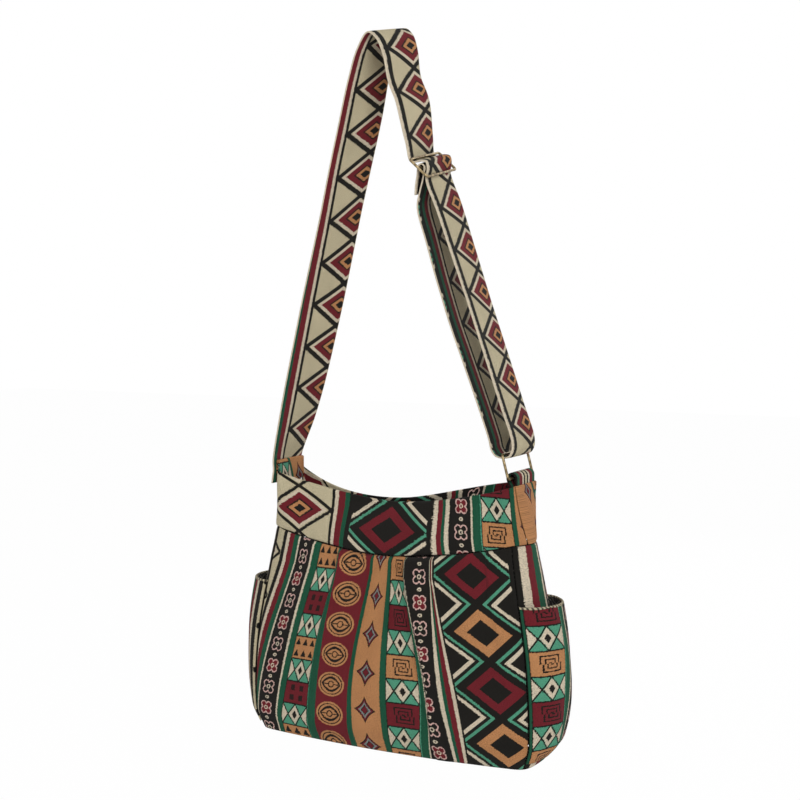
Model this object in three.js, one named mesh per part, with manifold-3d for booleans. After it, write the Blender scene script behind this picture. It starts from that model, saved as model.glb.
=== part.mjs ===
// Woven shoulder bag hanging from the top of its strap.
// Millimetres, +Z up, +X to the wearer's ring side, -Y the pleated front.
// The origin is the underside of the strap's top fold, where the bag hangs.

import * as THREE from 'three';
import Module from 'manifold-3d';
import { mergeVertices } from 'three/addons/utils/BufferGeometryUtils.js';

// Body, measured at the levels from the mouth down to the base.
const topWidth = 290;
const waistWidth = 284;
const shoulderWidth = 296;
const bellyWidth = 324;
const lowerWidth = 332;
const baseWidth = 318;
const topDepth = 60;
const waistDepth = 62;
const shoulderDepth = 72;
const bellyDepth = 84;
const baseDepth = 72;
const bodyHeight = 292;
const yokeHeight = 62;
const shoulderDrop = 38;
const bellyDrop = 118;
const baseRounding = 28;
const wall = 2;
const seamGap = 1;
const sideSeamGap = 1.6;

// How far the front and the back swell past the corners, and the sides past theirs.
const mouthPinch = 18;
const necklineSwell = -12;
const waistSwell = 9;
const shoulderSwell = 13;
const bellySwell = 17;
const baseSwell = 12;
const sideWaistSwell = 11;
const sideSwell = 12;
const sideBaseSwell = 3;
const rimCorner = 8;
const seamCorner = 12;

// The mouth's rim hangs between the two sides, and the yoke seam follows it.
const rimDip = 26;
const seamDip = 18;
const dipPower = 1.7;
const backRimSkew = 7;
const sideYokeFoot = 30;
const leftYokeRise = 12;

// Side pockets.
const pocketDepth = 160;
const pocketGape = 17;
const pocketWall = 2;
const pocketClearance = 0.5;
const pocketFoot = 7;
const pocketGapePower = 2.5;

// Steps across and up each kind of panel.
const faceSteps = 24;
const sideSteps = 10;
const yokeRows = 5;
const lowerRows = 9;
const pocketSteps = 12;
const pocketRows = 8;
const baseSteps = 56;

// Strap, ring, tab and slider.
const strapWidth = 60;
const strapThickness = 2.6;
const strapRise = 476;
const apexOffset = -20;
const strapOverlap = 14;
const sewnGap = 0.5;
const wireRadius = 1.4;
const ringSideClearance = 1;
const wireCorner = 3;
const ringPitch = 26;
const ringLean = 15;
const ringBarHeight = 7;
const tabWidth = 46;
const tabThickness = 2.2;
const tabBarClearance = 0.5;
const tabReach = 24;
const strapBarClearance = 0.6;
const layerGap = 0.4;
const sliderSideClearance = 3.4;
const sliderLength = 26;
const sliderTilt = 45;
const sliderOffset = 36;
const sliderHeight = 331;
const strapRoll = 11;

const cloth = (color) => new THREE.MeshStandardMaterial({ color, roughness: 0.9, metalness: 0 });
const brass = new THREE.MeshStandardMaterial({ color: 0x9a7c46, roughness: 0.35, metalness: 1 });

const yokeLevel = -yokeHeight;
const shoulderLevel = yokeLevel - shoulderDrop;
const bellyLevel = yokeLevel - bellyDrop;
const lowerLevel = -bodyHeight + baseRounding;
const baseLevel = -bodyHeight;

// A smooth curve through (level, value) stations listed from the base up.
function profile(stations) {
  const slope = (i) => {
    const a = stations[Math.max(i - 1, 0)];
    const b = stations[Math.min(i + 1, stations.length - 1)];
    return (b[1] - a[1]) / (b[0] - a[0]);
  };
  return (level) => {
    const last = stations.length - 1;
    const z = THREE.MathUtils.clamp(level, stations[0][0], stations[last][0]);
    let i = 0;
    while (i < last - 1 && z > stations[i + 1][0]) i += 1;
    const [z0, v0] = stations[i];
    const [z1, v1] = stations[i + 1];
    const h = z1 - z0;
    const t = (z - z0) / h;
    const rise = t * t * (3 - 2 * t);
    return v0 * (1 - rise) + v1 * rise
      + h * slope(i) * t * (1 - t) * (1 - t) - h * slope(i + 1) * t * t * (1 - t);
  };
}

const halfWidth = profile([
  [baseLevel, baseWidth / 2], [lowerLevel, lowerWidth / 2], [bellyLevel, bellyWidth / 2],
  [shoulderLevel, shoulderWidth / 2], [yokeLevel, waistWidth / 2], [0, topWidth / 2]]);
const halfDepth = profile([
  [baseLevel, baseDepth / 2], [lowerLevel, bellyDepth / 2], [bellyLevel, bellyDepth / 2],
  [shoulderLevel, shoulderDepth / 2], [yokeLevel, waistDepth / 2], [0, topDepth / 2]]);
const faceSwell = profile([
  [baseLevel, baseSwell], [lowerLevel, bellySwell], [bellyLevel, bellySwell],
  [shoulderLevel, shoulderSwell], [yokeLevel, waistSwell], [-rimDip, necklineSwell],
  [0, -mouthPinch]]);
const endSwell = profile([
  [baseLevel, sideBaseSwell], [lowerLevel, sideSwell], [bellyLevel, sideSwell],
  [shoulderLevel, sideSwell], [yokeLevel, sideWaistSwell], [0, 0]]);
const cornerSoftness = profile([
  [baseLevel, seamCorner], [yokeLevel, seamCorner], [0, rimCorner]]);

// Around the body, place runs in millimetres: front left to right, right side front to back,
// back right to left, left side back to front.
const faceRun = bellyWidth;
const sideRun = bellyDepth;
const loopRun = 2 * (faceRun + sideRun);

function onFace(place) {
  const s = THREE.MathUtils.euclideanModulo(place, loopRun);
  if (s < faceRun) return { face: 'front', u: 2 * s / faceRun - 1 };
  if (s < faceRun + sideRun) return { face: 'right', u: 2 * (s - faceRun) / sideRun - 1 };
  if (s < 2 * faceRun + sideRun) return { face: 'back', u: 2 * (s - faceRun - sideRun) / faceRun - 1 };
  return { face: 'left', u: 2 * (s - 2 * faceRun - sideRun) / sideRun - 1 };
}

function sharpSection(place, level) {
  const { face, u } = onFace(place);
  const a = halfWidth(level);
  const b = halfDepth(level);
  const swell = 1 - u * u;
  if (face === 'front') return [a * u, -b - faceSwell(level) * swell];
  if (face === 'right') return [a + endSwell(level) * swell, b * u];
  if (face === 'back') return [-a * u, b + faceSwell(level) * swell];
  return [-a - endSwell(level) * swell, -b * u];
}

// Averaging a short stretch of the section rounds its corners.
function section(place, level) {
  const reach = cornerSoftness(level);
  const samples = 9;
  let x = 0;
  let y = 0;
  for (let i = 0; i < samples; i += 1) {
    const [px, py] = sharpSection(place + reach * (2 * i / (samples - 1) - 1), level);
    x += px / samples;
    y += py / samples;
  }
  return [x, y];
}

function bodyPoint(place, level, proud) {
  const [x, y] = section(place, level);
  const [ax, ay] = section(place - 1, level);
  const [bx, by] = section(place + 1, level);
  const length = Math.hypot(bx - ax, by - ay);
  return new THREE.Vector3(x + proud * (by - ay) / length, y - proud * (bx - ax) / length, level);
}

function dip(place) {
  const { face, u } = onFace(place);
  if (face === 'right' || face === 'left') return 0;
  return 1 - Math.abs(u) ** dipPower;
}

// The greatest value of u (1 - u u), so that the back rim's skew is its true height.
const skewPeak = 2 / (3 * Math.sqrt(3));

function rimLevel(place) {
  const { face, u } = onFace(place);
  const skew = face === 'back' ? -backRimSkew * u * (1 - u * u) / skewPeak : 0;
  return -rimDip * dip(place) + skew;
}

const seamLevel = (place) => yokeLevel - seamDip * dip(place);

// The yokes wrap round the corners, so each side piece narrows towards the yoke seam.
function wrap(level) {
  const down = THREE.MathUtils.clamp(level / yokeLevel, 0, 1);
  return down * (sideRun - sideYokeFoot) / 2;
}

// A closed sheet from a point function of (across 0..1, up 0..1, outer side or inner side).
function sheet(pointAt, across, up) {
  const positions = [];
  const index = [];
  const row = across + 1;
  const side = row * (up + 1);
  for (const outer of [true, false]) {
    for (let j = 0; j <= up; j += 1) {
      for (let i = 0; i <= across; i += 1) {
        positions.push(...pointAt(i / across, j / up, outer).toArray());
      }
    }
  }
  const quad = (a, b, c, d) => index.push(a, b, c, a, c, d);
  for (let j = 0; j < up; j += 1) {
    for (let i = 0; i < across; i += 1) {
      const a = j * row + i;
      quad(a, a + 1, a + row + 1, a + row);
      quad(side + a, side + a + row, side + a + row + 1, side + a + 1);
    }
  }
  for (let i = 0; i < across; i += 1) {
    const top = up * row + i;
    quad(i, side + i, side + i + 1, i + 1);
    quad(top, top + 1, side + top + 1, side + top);
  }
  for (let j = 0; j < up; j += 1) {
    const left = j * row;
    const right = left + across;
    quad(left, left + row, side + left + row, side + left);
    quad(right, side + right, side + right + row, right + row);
  }
  const geometry = new THREE.BufferGeometry();
  geometry.setAttribute('position', new THREE.Float32BufferAttribute(positions, 3));
  geometry.setIndex(index);
  return geometry;
}

// Steps across a panel are finer near its ends, where the corners are.
const eased = (i) => (1 - Math.cos(Math.PI * i)) / 2;

// A cloth panel between two places and two levels, each given as a function.
function panel(from, to, bottom, top, across, up) {
  return sheet((i, j, outer) => {
    const level = (place) => THREE.MathUtils.lerp(bottom(place), top(place), j);
    const guess = level(THREE.MathUtils.lerp(from(0), to(0), eased(i)));
    const place = THREE.MathUtils.lerp(from(guess), to(guess), eased(i));
    return bodyPoint(place, level(place), outer ? 0 : -wall);
  }, across, up);
}

const halfGap = seamGap / 2;
const frontStart = 0;
const backStart = faceRun + sideRun;
const rightStart = faceRun;
const leftStart = 2 * faceRun + sideRun;

function yoke(start) {
  return panel(
    (z) => start - wrap(z) + halfGap, (z) => start + faceRun + wrap(z) - halfGap,
    (s) => seamLevel(s) + halfGap, (s) => rimLevel(s), faceSteps, yokeRows);
}

function lowerPanel(start) {
  return panel(
    () => start + halfGap, () => start + faceRun - halfGap,
    () => baseLevel + wall + halfGap, (s) => seamLevel(s) - halfGap, faceSteps, lowerRows);
}

function sideYoke(start, rise) {
  return panel(
    (z) => start + wrap(z) + sideSeamGap, (z) => start + sideRun - wrap(z) - sideSeamGap,
    (s) => seamLevel(s) + halfGap, () => rise, sideSteps, yokeRows);
}

function gusset(start) {
  return panel(
    () => start + halfGap, () => start + sideRun - halfGap,
    () => baseLevel + wall + halfGap, (s) => seamLevel(s) - halfGap, sideSteps, lowerRows);
}

// A pocket lies on its gusset along three edges and gapes at the mouth.
function pocket(start) {
  const foot = baseLevel + wall + pocketFoot;
  return sheet((i, j, outer) => {
    const level = foot + pocketDepth * j;
    const place = start + pocketClearance + (sideRun - 2 * pocketClearance) * i;
    const belly = 1 - (2 * i - 1) ** 2;
    const stand = pocketClearance + pocketGape * belly * (1 - (1 - j) ** pocketGapePower);
    return bodyPoint(place, level, stand + (outer ? pocketWall : 0));
  }, pocketSteps, pocketRows);
}

function bottomPanel() {
  const outline = [];
  for (let i = 0; i < baseSteps; i += 1) {
    const [x, y] = section(loopRun * (i + 0.5) / baseSteps, baseLevel);
    outline.push(new THREE.Vector2(x, y));
  }
  const plate = new THREE.ExtrudeGeometry(new THREE.Shape(outline), { depth: wall, bevelEnabled: false });
  plate.translate(0, 0, baseLevel);
  return plate;
}

// Ring and tab share the axis of the ring's lower bar.
const ringSpan = strapWidth + 2 * (ringSideClearance + wireRadius);
const sliderSpan = strapWidth + 2 * (sliderSideClearance + wireRadius);
const tabOuter = wireRadius + tabBarClearance + tabThickness;
const tabFace = topWidth / 2 - wall - sewnGap;
const barX = tabFace - tabOuter - 1;
const lean = THREE.MathUtils.degToRad(ringLean);
const upperBar = new THREE.Vector3(
  barX - ringPitch * Math.sin(lean), 0, ringBarHeight + ringPitch * Math.cos(lean));

// A closed rectangular loop of wire with rounded corners, in its own YZ plane.
function wireLoop(span, length) {
  const corner = wireCorner;
  const y = span / 2;
  const route = new THREE.CurvePath();
  const at = (py, pz) => new THREE.Vector3(0, py, pz);
  const turns = [
    [at(y - corner, 0), at(y, 0), at(y, corner), at(y, length - corner)],
    [at(y, length - corner), at(y, length), at(y - corner, length), at(corner - y, length)],
    [at(corner - y, length), at(-y, length), at(-y, length - corner), at(-y, corner)],
    [at(-y, corner), at(-y, 0), at(corner - y, 0), at(y - corner, 0)]];
  for (const [start, bend, end, next] of turns) {
    route.add(new THREE.QuadraticBezierCurve3(start, bend, end));
    route.add(new THREE.LineCurve3(end, next));
  }
  return closedWire(route);
}

// A wire of eight flats along a route that ends where it starts.
function closedWire(route) {
  const flats = 8;
  const rings = [];
  const marks = routeMarks(route);
  for (const t of marks) {
    const centre = route.getPoint(t);
    const along = route.getTangent(t).normalize();
    const across = new THREE.Vector3(1, 0, 0);
    const third = new THREE.Vector3().crossVectors(along, across).normalize();
    for (let k = 0; k < flats; k += 1) {
      const turn = 2 * Math.PI * (k + 0.5) / flats;
      rings.push(centre.clone()
        .addScaledVector(across, wireRadius * Math.cos(turn))
        .addScaledVector(third, wireRadius * Math.sin(turn)));
    }
  }
  const index = [];
  const count = marks.length;
  for (let r = 0; r < count; r += 1) {
    for (let k = 0; k < flats; k += 1) {
      const a = r * flats + k;
      const b = r * flats + (k + 1) % flats;
      const c = ((r + 1) % count) * flats + k;
      const d = ((r + 1) % count) * flats + (k + 1) % flats;
      index.push(a, b, d, a, d, c);
    }
  }
  const geometry = new THREE.BufferGeometry();
  const positions = rings.flatMap((p) => p.toArray());
  geometry.setAttribute('position', new THREE.Float32BufferAttribute(positions, 3));
  geometry.setIndex(index);
  return geometry;
}

// Where along the route each ring of vertices lies: four steps in a bend, one in a straight.
function routeMarks(route) {
  const perCurve = 4;
  const lengths = route.getCurveLengths();
  const total = lengths[lengths.length - 1];
  const marks = [];
  route.curves.forEach((curve, i) => {
    const from = i === 0 ? 0 : lengths[i - 1];
    const steps = curve.isLineCurve3 ? 1 : perCurve;
    for (let k = 0; k < steps; k += 1) marks.push((from + (lengths[i] - from) * k / steps) / total);
  });
  return marks;
}

// The tab's section in X and Z: a strip round the ring's lower bar, its two ends sewn together.
function ringTab() {
  const foot = ringBarHeight - tabOuter - tabReach;
  const legInner = tabOuter - 2 * tabThickness;
  const shape = new THREE.Shape();
  shape.moveTo(tabOuter, foot);
  shape.lineTo(tabOuter, ringBarHeight);
  shape.absarc(0, ringBarHeight, tabOuter, 0, Math.PI + Math.acos(-legInner / tabOuter), false);
  shape.lineTo(legInner, foot);
  const hole = new THREE.Path();
  hole.absarc(0, ringBarHeight, wireRadius + tabBarClearance, 0, 2 * Math.PI, true);
  shape.holes.push(hole);
  const tab = new THREE.ExtrudeGeometry(shape, { depth: tabWidth, bevelEnabled: false, curveSegments: 12 });
  tab.rotateX(Math.PI / 2);
  tab.translate(barX, tabWidth / 2, 0);
  return tab;
}

// The slider: a wire loop with a bar across its middle, joined into one solid.
const wasm = await Module();
wasm.setup();

function toSolid(geometry) {
  const bare = geometry.clone();
  bare.deleteAttribute('normal');
  bare.deleteAttribute('uv');
  const merged = mergeVertices(bare, 1e-4);
  return new wasm.Manifold(new wasm.Mesh({
    numProp: 3,
    vertProperties: new Float32Array(merged.attributes.position.array),
    triVerts: new Uint32Array(merged.index.array),
  }));
}

function toGeometry(solid) {
  const mesh = solid.getMesh();
  const geometry = new THREE.BufferGeometry();
  geometry.setAttribute('position', new THREE.Float32BufferAttribute(mesh.vertProperties, 3));
  geometry.setIndex(new THREE.Uint32BufferAttribute(mesh.triVerts, 1));
  return geometry;
}

function sliderFrame() {
  const loop = toSolid(wireLoop(sliderSpan, sliderLength));
  const bar = new THREE.CylinderGeometry(wireRadius, wireRadius, sliderSpan, 8);
  bar.rotateY(Math.PI / 8);
  bar.translate(0, 0, sliderLength / 2);
  return toGeometry(loop.add(toSolid(bar)));
}

// The strap's centre line in X and Z, from the left side up, over the top, through the slider,
// round the ring and back up to the slider's middle bar.
const tilt = THREE.MathUtils.degToRad(sliderTilt);
const sliderDown = new THREE.Vector2(Math.sin(tilt), -Math.cos(tilt));
const sliderOut = new THREE.Vector2(Math.cos(tilt), Math.sin(tilt));
const sliderBar = (share, out) => new THREE.Vector2(sliderOffset, sliderHeight)
  .addScaledVector(sliderDown, share * sliderLength / 2).addScaledVector(sliderOut, out);
const underBar = wireRadius + strapBarClearance + strapThickness / 2;
const wrapRadius = underBar + layerGap;
const overWrap = wrapRadius + strapThickness + 3 * layerGap;
const sewnX = (z) => -halfWidth(z) - endSwell(z) - sewnGap - strapThickness / 2;

// How far the strap bows outwards on the left, at each share of the way up to the top fold.
const leftBow = [[0.1, -1], [0.2, -1], [0.4, 1], [0.55, 3], [0.7, 5], [0.8, 6], [0.9, 8], [0.965, 7]];
// Where it falls past the top fold, measured from that fold.
const topFall = [[10, -7], [17, -24], [22, -52]];
const fallShare = 0.45;
const fallBow = -7;
const sliderEntry = [-5, 21];
// The hump over the slider's middle bar, beside it on each side.
const humpShare = 0.42;
const humpEntry = 3;
const humpExit = 2.6;
const downShares = [0.12, 0.3, 0.5, 0.7, 0.88];
// The loop round the ring's upper bar, measured from that bar.
const ringLoop = [
  [9, 15], [9.5, 5], [6, -2], [-0.5, -underBar - layerGap], [-8.5, -2.2], [-13.5, 4], [-16, 14]];
// The return layer's bow on its way from the ring back up to the slider.
const returnBow = [[0.16, 1], [0.33, 3], [0.5, 5], [0.67, 4.5], [0.84, 2.5], [1, 0]];
// The way in to the middle bar, the turn round it and the sewn tail, measured from that bar.
const barApproach = [[-4, -40], [-1, -24], [2.4, -11]];
const barTurns = [-5, 40, 85, 130, 175];
const sewnTail = [[-4.4, -8], [-6, -18], [-6.6, -28]];

function strapRoute() {
  const offset = (point, [dx, dz]) => point.clone().add(new THREE.Vector2(dx, dz));
  const bowed = (from, to, [share, bow]) => offset(from.clone().lerp(to, share), [-bow, 0]);
  const sewn = (z) => new THREE.Vector2(sewnX(z), z);
  const left = sewn(leftYokeRise);
  const top = new THREE.Vector2(apexOffset, strapRise - strapThickness / 2);
  const ringBar = new THREE.Vector2(upperBar.x, upperBar.z);
  const middle = sliderBar(0, 0);
  const sliderTop = sliderBar(-1, -underBar);
  const sliderFoot = sliderBar(1, -underBar);
  const loopStart = offset(ringBar, ringLoop[0]);
  const loopEnd = offset(ringBar, ringLoop[ringLoop.length - 1]);
  const [back, ...nearBar] = barApproach.map((step) => offset(middle, step));
  const roundBar = barTurns.map((degrees) => {
    const turn = THREE.MathUtils.degToRad(degrees);
    return offset(middle, [wrapRadius * Math.cos(turn), wrapRadius * Math.sin(turn)]);
  });
  return [
    sewn(-strapOverlap), sewn(-strapOverlap / 2), sewn(0), left,
    ...leftBow.map((step) => bowed(left, top, step)), top,
    ...topFall.map((step) => offset(top, step)),
    bowed(sliderTop, top, [fallShare, fallBow]), offset(sliderTop, sliderEntry),
    sliderBar(-1, -underBar - layerGap), sliderBar(-humpShare, overWrap - humpEntry),
    sliderBar(0, overWrap + layerGap), sliderBar(humpShare, overWrap - humpExit),
    sliderBar(1, -underBar - 3 * layerGap),
    ...downShares.map((share) => sliderFoot.clone().lerp(loopStart, share)),
    ...ringLoop.map((step) => offset(ringBar, step)),
    ...returnBow.map((step) => bowed(loopEnd, back, step)),
    ...nearBar, ...roundBar, ...sewnTail.map((step) => offset(middle, step)),
  ];
}

// The hanging strap turns a little on its way up the left and settles again on the right.
const leftYaw = profile([
  [-strapOverlap, 0], [leftYokeRise, 0], [60, 11], [110, 17], [260, 21], [380, 24], [strapRise, 15]]);
const rightYaw = profile([
  [0, 0], [sliderHeight - 20, 0], [sliderHeight + 12, 0], [390, 8], [430, 9], [strapRise, 15]]);
const roll = profile([[190, 0], [285, strapRoll], [300, strapRoll], [strapRise, strapRoll]]);
const strapStep = 16;

function strap() {
  const points = strapRoute();
  const inSpace = points.map((p) => new THREE.Vector3(p.x, 0, p.y));
  const route = new THREE.CatmullRomCurve3(inSpace, false, 'centripetal');
  const marks = [];
  const spans = points.length - 1;
  for (let i = 0; i < spans; i += 1) {
    const steps = Math.max(2, Math.ceil(points[i].distanceTo(points[i + 1]) / strapStep));
    for (let k = 0; k < steps; k += 1) marks.push((i + k / steps) / spans);
  }
  marks.push(1);
  const positions = [];
  for (const mark of marks) {
    const centre = route.getPoint(mark);
    const along = route.getTangent(mark);
    const onLeft = centre.x < apexOffset;
    const yaw = THREE.MathUtils.degToRad(onLeft ? leftYaw(centre.z) : rightYaw(centre.z));
    const lift = Math.tan(THREE.MathUtils.degToRad(roll(centre.z)));
    const across = new THREE.Vector3(Math.sin(yaw), Math.cos(yaw), lift).normalize();
    const out = new THREE.Vector3().crossVectors(across, along).normalize();
    for (const [a, b] of [[-1, -1], [1, -1], [1, 1], [-1, 1]]) {
      positions.push(...centre.clone().addScaledVector(across, a * strapWidth / 2)
        .addScaledVector(out, b * strapThickness / 2).toArray());
    }
  }
  const index = [];
  const corners = 4;
  for (let r = 0; r < marks.length - 1; r += 1) {
    for (let k = 0; k < corners; k += 1) {
      const a = r * corners + k;
      const b = r * corners + (k + 1) % corners;
      index.push(a, b + corners, b, a, a + corners, b + corners);
    }
  }
  const end = (marks.length - 1) * corners;
  index.push(0, 1, 2, 0, 2, 3, end, end + 2, end + 1, end, end + 3, end + 2);
  const geometry = new THREE.BufferGeometry();
  geometry.setAttribute('position', new THREE.Float32BufferAttribute(positions, 3));
  geometry.setIndex(index);
  return geometry;
}

const bag = new THREE.Group();
bag.position.set(-apexOffset, 0, strapThickness - strapRise);

function add(name, geometry, material) {
  const mesh = new THREE.Mesh(geometry, material);
  mesh.name = name;
  bag.add(mesh);
  return mesh;
}

add('front_yoke', yoke(frontStart), cloth(0x3c2f2a));
add('back_yoke', yoke(backStart), cloth(0x3c2f2a));
add('front_panel', lowerPanel(frontStart), cloth(0x6e1a24));
add('back_panel', lowerPanel(backStart), cloth(0x6e1a24));
add('right_side_yoke', sideYoke(rightStart, 0), cloth(0xc98a55));
add('left_side_yoke', sideYoke(leftStart, leftYokeRise), cloth(0xc98a55));
add('right_gusset', gusset(rightStart), cloth(0x1c5a40));
add('left_gusset', gusset(leftStart), cloth(0x1c5a40));
add('bottom_panel', bottomPanel(), cloth(0x2a2622));
add('right_pocket', pocket(rightStart), cloth(0x4a8f73));
add('left_pocket', pocket(leftStart), cloth(0x4a8f73));
add('ring_tab', ringTab(), cloth(0x6e1a24));
add('strap', strap(), cloth(0xcdc3a5));

const ring = add('ring', wireLoop(ringSpan, ringPitch), brass);
ring.position.set(barX, 0, ringBarHeight);
ring.rotation.y = -lean;

const slider = add('slider', sliderFrame(), brass);
slider.geometry.translate(0, 0, -sliderLength / 2);
slider.rotation.set(THREE.MathUtils.degToRad(strapRoll), 0, 0);
slider.rotateY(-tilt);
slider.position.set(sliderOffset, 0, sliderHeight);

export default bag;
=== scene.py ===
# %% [markdown]
# # A woven shoulder bag, hung by its strap
#
# The bag is sewn from one jacquard cloth whose bands run from the mouth to the base. The lower front
# is wider than the yoke it hangs from, so its spare cloth is tucked into folds under the seam. The
# frame gives every piece its place, and this script gives each one its cloth, its edge and its metal.

import math

import bmesh
import bpy
import numpy as np
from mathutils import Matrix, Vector


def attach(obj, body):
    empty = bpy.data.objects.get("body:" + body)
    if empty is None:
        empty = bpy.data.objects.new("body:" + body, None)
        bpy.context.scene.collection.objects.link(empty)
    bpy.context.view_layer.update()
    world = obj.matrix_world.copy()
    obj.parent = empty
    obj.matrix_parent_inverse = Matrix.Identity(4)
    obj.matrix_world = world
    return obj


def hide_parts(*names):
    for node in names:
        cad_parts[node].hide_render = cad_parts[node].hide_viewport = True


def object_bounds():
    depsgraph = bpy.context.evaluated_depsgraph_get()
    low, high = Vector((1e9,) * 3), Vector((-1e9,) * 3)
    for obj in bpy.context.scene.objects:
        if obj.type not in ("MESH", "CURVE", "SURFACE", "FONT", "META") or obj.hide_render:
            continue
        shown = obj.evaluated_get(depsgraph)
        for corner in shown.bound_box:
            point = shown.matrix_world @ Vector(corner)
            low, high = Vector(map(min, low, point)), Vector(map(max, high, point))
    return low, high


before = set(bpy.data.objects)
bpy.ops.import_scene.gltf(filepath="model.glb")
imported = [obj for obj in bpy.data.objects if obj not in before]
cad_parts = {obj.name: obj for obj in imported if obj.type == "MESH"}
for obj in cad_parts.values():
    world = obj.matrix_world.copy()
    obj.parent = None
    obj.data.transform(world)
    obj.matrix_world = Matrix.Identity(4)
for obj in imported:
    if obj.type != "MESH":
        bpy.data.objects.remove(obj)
cad_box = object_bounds()
print("frame box", [round(x, 3) for corner in cad_box for x in corner])

# %% [markdown]
# ## The camera
#
# A camera can be placed by eye or worked out from known points on the object. Here it is worked out:
# a turn, a look down, a distance and a lens that put the bag's corners where the photograph has them.

# %% Camera
TURN = math.radians(27.61)
LOOK_DOWN = math.radians(4.06)
DISTANCE = 1.508
LENS_MM = 63.05
SENSOR_MM = 36
TARGET = Vector((0.01734, -0.00139, -0.3919))


def placed(name, data):
    """A new object of some data, linked to the scene."""
    made = bpy.data.objects.new(name, data)
    bpy.context.collection.objects.link(made)
    return made


def add_camera():
    """The camera at the photograph's angle, looking at the middle of the hanging bag."""
    data = bpy.data.cameras.new("camera")
    data.lens = LENS_MM
    data.sensor_width = SENSOR_MM
    camera = placed("camera", data)
    level = math.cos(LOOK_DOWN)
    back = Vector((math.sin(TURN) * level, -math.cos(TURN) * level, math.sin(LOOK_DOWN)))
    camera.location = TARGET + back * DISTANCE
    camera.rotation_euler = (-back).to_track_quat("-Z", "Y").to_euler()
    bpy.context.scene.camera = camera
    print("camera at", [round(x, 3) for x in camera.location])


add_camera()

# %% [markdown]
# ## The shape of the body
#
# A bag could be draped by a cloth simulation, but this one has to lie where the frame's panels lie.
# So the same few widths and depths that the panels follow are written here again, and every sheet of
# cloth is laid on them. A smooth curve through each list of levels gives the size in between.

# %% Body sizes, in metres
BODY_HEIGHT = 0.292
YOKE_HEIGHT = 0.062
SHOULDER_LEVEL = -0.100
BELLY_LEVEL = -0.180
LOWER_LEVEL = -0.264
FACE_RUN = 0.324
SIDE_RUN = 0.084
LOOP_RUN = 2 * (FACE_RUN + SIDE_RUN)
RIM_DIP = 0.026
SEAM_DIP = 0.018
DIP_POWER = 1.7
BACK_SKEW = 0.007
SKEW_PEAK = 2 / (3 * math.sqrt(3))
SIDE_YOKE_FOOT = 0.030
LEFT_YOKE_RISE = 0.012
SEAM_GAP = 0.001
SIDE_SEAM_GAP = 0.0016
WALL = 0.002
APEX_X = -0.020
STRAP_RISE = 0.476
STRAP_THICKNESS = 0.0026
TO_FRAME = np.array([-APEX_X, 0, STRAP_THICKNESS - STRAP_RISE])


def profile(stations):
    """A smooth curve through (level, value) stations, listed from the base up."""
    levels, values = np.array(stations, float).T
    last = len(levels) - 1
    before = np.maximum(np.arange(last + 1) - 1, 0)
    after = np.minimum(np.arange(last + 1) + 1, last)
    slopes = (values[after] - values[before]) / (levels[after] - levels[before])

    def at(level):
        z = np.clip(level, levels[0], levels[-1])
        i = np.clip(np.searchsorted(levels, z, side="right") - 1, 0, last - 1)
        h = levels[i + 1] - levels[i]
        t = (z - levels[i]) / h
        rise = t * t * (3 - 2 * t)
        ends = values[i] * (1 - rise) + values[i + 1] * rise
        return ends + h * t * (1 - t) * (slopes[i] * (1 - t) - slopes[i + 1] * t)

    return at


BASE = -BODY_HEIGHT
YOKE = -YOKE_HEIGHT
half_width = profile([
    (BASE, 0.159), (LOWER_LEVEL, 0.166), (BELLY_LEVEL, 0.162),
    (SHOULDER_LEVEL, 0.148), (YOKE, 0.142), (0, 0.145)])
half_depth = profile([
    (BASE, 0.036), (LOWER_LEVEL, 0.042), (BELLY_LEVEL, 0.042),
    (SHOULDER_LEVEL, 0.036), (YOKE, 0.031), (0, 0.030)])
face_swell = profile([
    (BASE, 0.012), (LOWER_LEVEL, 0.017), (BELLY_LEVEL, 0.017),
    (SHOULDER_LEVEL, 0.013), (YOKE, 0.009), (-RIM_DIP, -0.012), (0, -0.018)])
end_swell = profile([
    (BASE, 0.003), (LOWER_LEVEL, 0.012), (BELLY_LEVEL, 0.012),
    (SHOULDER_LEVEL, 0.012), (YOKE, 0.011), (0, 0)])
softness = profile([(BASE, 0.012), (YOKE, 0.012), (0, 0.008)])


# %% Points on the body
def on_face(place):
    """Which side a place round the body is on, 0 front, 1 right, 2 back, 3 left, and how far across."""
    s = np.mod(place, LOOP_RUN)
    starts = np.array([0, FACE_RUN, FACE_RUN + SIDE_RUN, 2 * FACE_RUN + SIDE_RUN])
    face = np.searchsorted(starts, s, side="right") - 1
    run = np.where(face % 2 == 0, FACE_RUN, SIDE_RUN)
    return face, 2 * (s - starts[face]) / run - 1


def sharp_section(place, level):
    """The body's outline at a level, with sharp corners."""
    face, u = on_face(place)
    swell = 1 - u * u
    a, b = half_width(level), half_depth(level)
    turn = np.where(face < 2, 1, -1)
    x = turn * np.where(face % 2 == 0, a * u, a + end_swell(level) * swell)
    y = turn * np.where(face % 2 == 0, -b - face_swell(level) * swell, b * u)
    return x, y


def section(place, level):
    """The same outline with its corners softened by averaging a short stretch."""
    steps = np.linspace(-1, 1, 9)
    found = [sharp_section(place + softness(level) * step, level) for step in steps]
    return sum(x for x, y in found) / len(steps), sum(y for x, y in found) / len(steps)


def body_point(place, level, proud=0.0):
    """Points of the body in the frame, standing proud of it by so much."""
    place, level = np.broadcast_arrays(np.asarray(place, float), np.asarray(level, float))
    x, y = section(place, level)
    step = 0.001
    ax, ay = section(place - step, level)
    bx, by = section(place + step, level)
    length = np.hypot(bx - ax, by - ay)
    found = np.stack([x + proud * (by - ay) / length, y - proud * (bx - ax) / length, level], -1)
    return found + TO_FRAME


def dip(place):
    face, u = on_face(place)
    return np.where(face % 2 == 0, 1 - np.abs(u) ** DIP_POWER, 0)


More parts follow.
